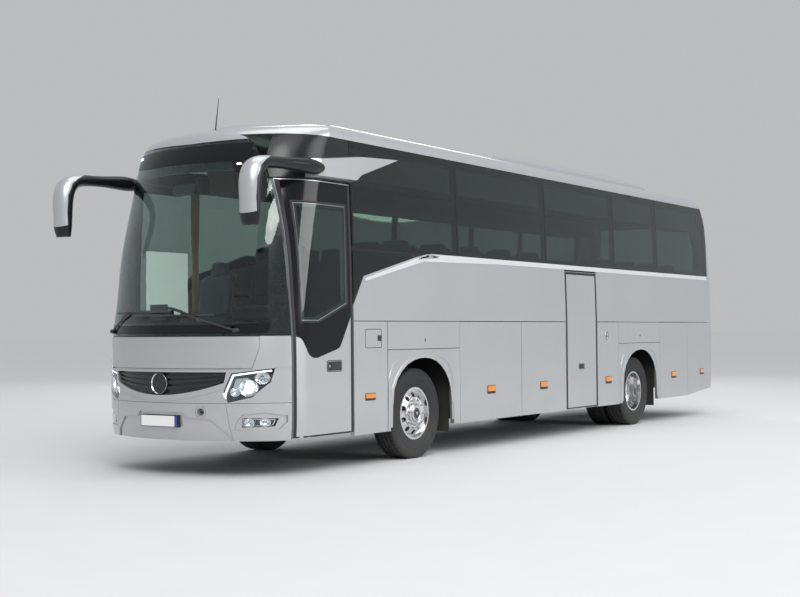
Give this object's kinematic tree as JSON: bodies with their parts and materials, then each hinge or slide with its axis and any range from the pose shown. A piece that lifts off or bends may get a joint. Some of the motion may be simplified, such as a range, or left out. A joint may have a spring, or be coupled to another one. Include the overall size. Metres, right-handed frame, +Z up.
{
  "type": "coach bus",
  "caption": "Two-axle touring coach with a domed nose, swoosh-shaped windows, entrance doors, luggage flaps, steered front wheels and a roof pod",
  "frame": {"origin": "on the ground, under the middle of the bounding box", "axes": "+X forward, +Y the coach's left, +Z up"},
  "size_m": [12.5014, 2.862, 3.9859],
  "materials": {
    "silver_paint": "metallic silver lacquer",
    "tinted_glass": "dark tinted glass",
    "screen_glass": "laminated glass",
    "black_trim": "black plastic and painted frame",
    "bright_trim": "bright anodised strip",
    "grille_dark": "dark grille",
    "lamp_clear": "clear lamp lens",
    "lamp_red": "red lamp lens",
    "chassis": "black chassis paint",
    "cast_steel": "cast and forged steel",
    "rim_alloy": "polished aluminium",
    "tyre_rubber": "black rubber",
    "floor_lining": "floor covering on plywood",
    "seat_fabric": "woven seat cloth",
    "cabin_plastic": "moulded cabin plastic",
    "curtain_cloth": "tan curtain cloth",
    "plate_blank": "blank plate holder"
  },
  "bodies": {
    "coach_body": {"underframe": "chassis", "frame_rails": "chassis", "front_steps": "floor_lining", "mid_steps": "floor_lining", "side_pillars": "black_trim", "mirror_arms": "black_trim", "passenger_floor": "floor_lining", "luggage_floor": "floor_lining", "side_panels": "silver_paint", "side_frames": "black_trim", "side_glass": "tinted_glass", "side_trim": "bright_trim", "wheel_housings": "black_trim", "roof_shell": "silver_paint", "roof_pod": "silver_paint", "front_mask": "silver_paint", "front_bumper": "silver_paint", "windscreen_frame": "black_trim", "windscreen": "screen_glass", "grille": "grille_dark", "front_lamps": "lamp_clear", "rear_wall": "silver_paint", "rear_window": "tinted_glass", "tail_lamps": "lamp_red", "mirrors": "silver_paint", "wipers": "black_trim", "front_axle": "cast_steel", "rear_axle": "cast_steel", "engine": "cast_steel", "dashboard": "cabin_plastic", "seats": "seat_fabric", "luggage_racks": "cabin_plastic", "curtains": "curtain_cloth", "fittings": "plate_blank"},
    "front_door_arm": {"front_door_arm": "black_trim"},
    "front_door_leaf": {"front_door_leaf": "silver_paint", "front_door_glass": "tinted_glass"},
    "mid_door_arm": {"mid_door_arm": "black_trim"},
    "mid_door_leaf": {"mid_door_leaf": "silver_paint"},
    "left_flap_front": {"left_flap_front": "silver_paint"},
    "left_flap_rear": {"left_flap_rear": "silver_paint"},
    "left_tank_flap": {"left_tank_flap": "silver_paint"},
    "left_service_flap": {"left_service_flap": "silver_paint"},
    "right_flap_front": {"right_flap_front": "silver_paint"},
    "right_flap_rear": {"right_flap_rear": "silver_paint"},
    "right_service_flap": {"right_service_flap": "silver_paint"},
    "front_flap": {"front_flap": "silver_paint"},
    "engine_lid": {"engine_lid": "silver_paint"},
    "roof_hatch": {"roof_hatch": "silver_paint"},
    "steering_wheel": {"steering_wheel": "cabin_plastic"},
    "knuckle_left": {"knuckle_left": "cast_steel"},
    "knuckle_right": {"knuckle_right": "cast_steel"},
    "wheel_front_left": {"tyre_front_left": "tyre_rubber", "rim_front_left": "rim_alloy"},
    "wheel_front_right": {"tyre_front_right": "tyre_rubber", "rim_front_right": "rim_alloy"},
    "wheel_rear_left": {"tyre_rear_left": "tyre_rubber", "rim_rear_left": "rim_alloy"},
    "wheel_rear_right": {"tyre_rear_right": "tyre_rubber", "rim_rear_right": "rim_alloy"}
  },
  "joints": [
    {"name": "steer_left", "type": "hinge", "parent": "coach_body", "child": "knuckle_left", "pos_m": [3.135, 0.86, 0.5], "axis": [0, 0, 1], "range_deg": [-38, 38]},
    {"name": "spin_front_left", "type": "hinge", "parent": "knuckle_left", "child": "wheel_front_left", "pos_m": [3.135, 1.065, 0.515], "axis": [0, 1, 0], "continuous": true},
    {"name": "spin_rear_left", "type": "hinge", "parent": "coach_body", "child": "wheel_rear_left", "pos_m": [-2.955, 0.8845, 0.515], "axis": [0, 1, 0], "continuous": true},
    {"name": "steer_right", "type": "hinge", "parent": "coach_body", "child": "knuckle_right", "pos_m": [3.135, -0.86, 0.5], "axis": [0, 0, 1], "range_deg": [-38, 38]},
    {"name": "spin_front_right", "type": "hinge", "parent": "knuckle_right", "child": "wheel_front_right", "pos_m": [3.135, -1.065, 0.515], "axis": [0, 1, 0], "continuous": true},
    {"name": "spin_rear_right", "type": "hinge", "parent": "coach_body", "child": "wheel_rear_right", "pos_m": [-2.955, -0.8845, 0.515], "axis": [0, 1, 0], "continuous": true},
    {"name": "front_door_swing", "type": "hinge", "parent": "coach_body", "child": "front_door_arm", "pos_m": [5.235, 1.11, 1.4], "axis": [0, 0, 1], "range_deg": [-95, 0]},
    {"name": "front_door_turn", "type": "hinge", "parent": "front_door_arm", "child": "front_door_leaf", "pos_m": [4.585, 1.17, 1.4], "axis": [0, 0, 1], "range_deg": [0, 95]},
    {"name": "mid_door_swing", "type": "hinge", "parent": "coach_body", "child": "mid_door_arm", "pos_m": [-0.7, 1.11, 1.5], "axis": [0, 0, 1], "range_deg": [-95, 0]},
    {"name": "mid_door_turn", "type": "hinge", "parent": "mid_door_arm", "child": "mid_door_leaf", "pos_m": [-1.35, 1.17, 1.5], "axis": [0, 0, 1], "range_deg": [0, 95]},
    {"name": "left_flap_front_lift", "type": "hinge", "parent": "coach_body", "child": "left_flap_front", "pos_m": [1.514, 1.275, 1.565], "axis": [1, 0, 0], "range_deg": [0, 85]},
    {"name": "left_flap_rear_lift", "type": "hinge", "parent": "coach_body", "child": "left_flap_rear", "pos_m": [0.122, 1.275, 1.565], "axis": [1, 0, 0], "range_deg": [0, 85]},
    {"name": "left_tank_flap_lift", "type": "hinge", "parent": "coach_body", "child": "left_tank_flap", "pos_m": [-1.8655, 1.275, 1.565], "axis": [1, 0, 0], "range_deg": [0, 85]},
    {"name": "left_service_flap_lift", "type": "hinge", "parent": "coach_body", "child": "left_service_flap", "pos_m": [-4.336, 1.275, 1.565], "axis": [1, 0, 0], "range_deg": [0, 85]},
    {"name": "right_flap_front_lift", "type": "hinge", "parent": "coach_body", "child": "right_flap_front", "pos_m": [1.514, -1.275, 1.565], "axis": [-1, 0, 0], "range_deg": [0, 85]},
    {"name": "right_flap_rear_lift", "type": "hinge", "parent": "coach_body", "child": "right_flap_rear", "pos_m": [-0.371, -1.275, 1.565], "axis": [-1, 0, 0], "range_deg": [0, 85]},
    {"name": "right_service_flap_lift", "type": "hinge", "parent": "coach_body", "child": "right_service_flap", "pos_m": [-4.336, -1.275, 1.565], "axis": [-1, 0, 0], "range_deg": [0, 85]},
    {"name": "front_flap_lift", "type": "hinge", "parent": "coach_body", "child": "front_flap", "pos_m": [6.025, 0, 1.42], "axis": [0, -1, 0], "range_deg": [0, 75]},
    {"name": "engine_lid_lift", "type": "hinge", "parent": "coach_body", "child": "engine_lid", "pos_m": [-6.262, 0, 1.897], "axis": [0, 1, 0], "range_deg": [0, 80]},
    {"name": "roof_hatch_lift", "type": "hinge", "parent": "coach_body", "child": "roof_hatch", "pos_m": [2.01, 0, 3.719], "axis": [0, -1, 0], "range_deg": [0, 40]},
    {"name": "steering_turn", "type": "hinge", "parent": "coach_body", "child": "steering_wheel", "pos_m": [5.175, -0.61, 1.632], "axis": [-0.4384, 0, 0.8988], "range_deg": [-684, 684]}
  ],
  "couplings": [
    {"joint": "steer_right", "follows": "steer_left", "ratio": 1},
    {"joint": "steering_turn", "follows": "steer_left", "ratio": 18},
    {"joint": "front_door_turn", "follows": "front_door_swing", "ratio": -1},
    {"joint": "mid_door_turn", "follows": "mid_door_swing", "ratio": -1}
  ]
}
